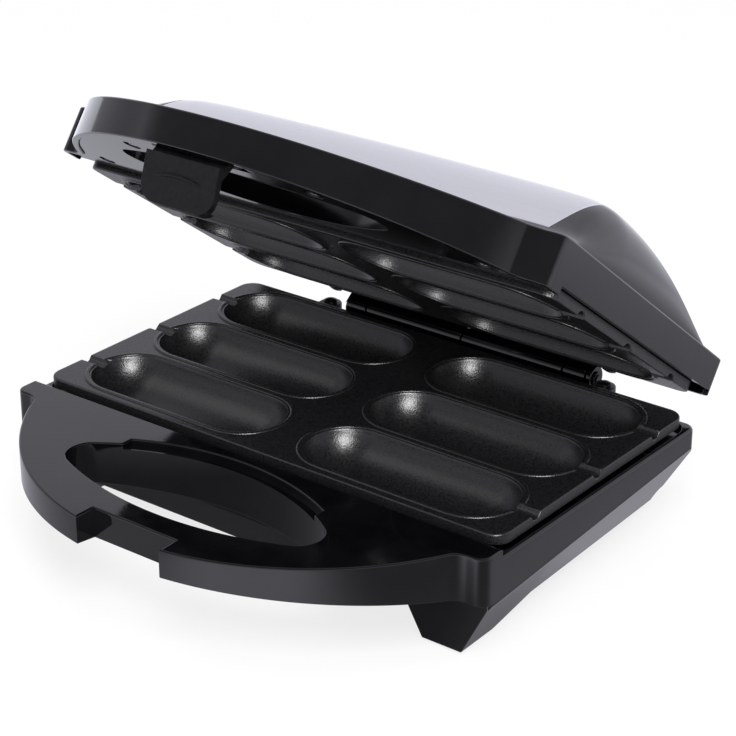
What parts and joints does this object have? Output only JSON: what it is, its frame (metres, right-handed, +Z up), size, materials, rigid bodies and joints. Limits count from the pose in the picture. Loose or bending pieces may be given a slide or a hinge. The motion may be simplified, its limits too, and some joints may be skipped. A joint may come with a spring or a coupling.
{
  "type": "corn dog maker",
  "caption": "Countertop corn dog maker with a hinged domed lid, capsule-shaped cavities in two facing plates, a looped front handle and a swinging latch.",
  "frame": {"origin": "on the table, under the middle of the open machine", "axes": "+Z up, the handle towards -Y, the hinge towards +Y and along X"},
  "size_m": [0.235, 0.2316, 0.1892],
  "materials": {
    "housing": "polished black moulding",
    "cooking_plate": "dark satin non-stick coating",
    "panel": "brushed",
    "plate_fixings": "blackened",
    "fixings": "bright",
    "heater": "dull sheath",
    "reflector": "bright sheet",
    "ceramic": "matt",
    "rubber": "matt",
    "latch": "fine texture",
    "lamp_red": "clear tinted",
    "lamp_green": "clear tinted"
  },
  "bodies": {
    "base": {"base_frame": "housing", "base_tub": "housing", "foot_pads": "rubber", "lower_plate": "cooking_plate", "lower_plate_screws": "plate_fixings", "lower_heater": "heater", "lower_reflector": "reflector", "thermostat": "ceramic", "thermal_fuse": "ceramic", "terminal_block": "ceramic", "cord_gland": "rubber", "base_screws": "fixings", "hinge_pin": "fixings", "hinge_pin_clips": "fixings"},
    "lid": {"lid_frame": "housing", "lid_dome": "housing", "steel_panel": "panel", "lid_inner_cover": "housing", "lid_cover_screws": "fixings", "upper_plate": "cooking_plate", "upper_plate_screws": "plate_fixings", "upper_heater": "heater", "upper_reflector": "reflector", "upper_cutout": "ceramic", "power_light": "lamp_red", "ready_light": "lamp_green", "latch_pin": "fixings"},
    "latch": {"latch": "latch"}
  },
  "joints": [
    {"name": "lid_hinge", "type": "hinge", "parent": "base", "child": "lid", "pos_m": [0, 0.10423, 0.04365], "axis": [-1, 0, 0], "range_deg": [-36.2, 58.8]},
    {"name": "latch_pivot", "type": "hinge", "parent": "lid", "child": "latch", "pos_m": [0, -0.06443, 0.17607], "axis": [1, 0, 0], "range_deg": [-10, 7]}
  ]
}
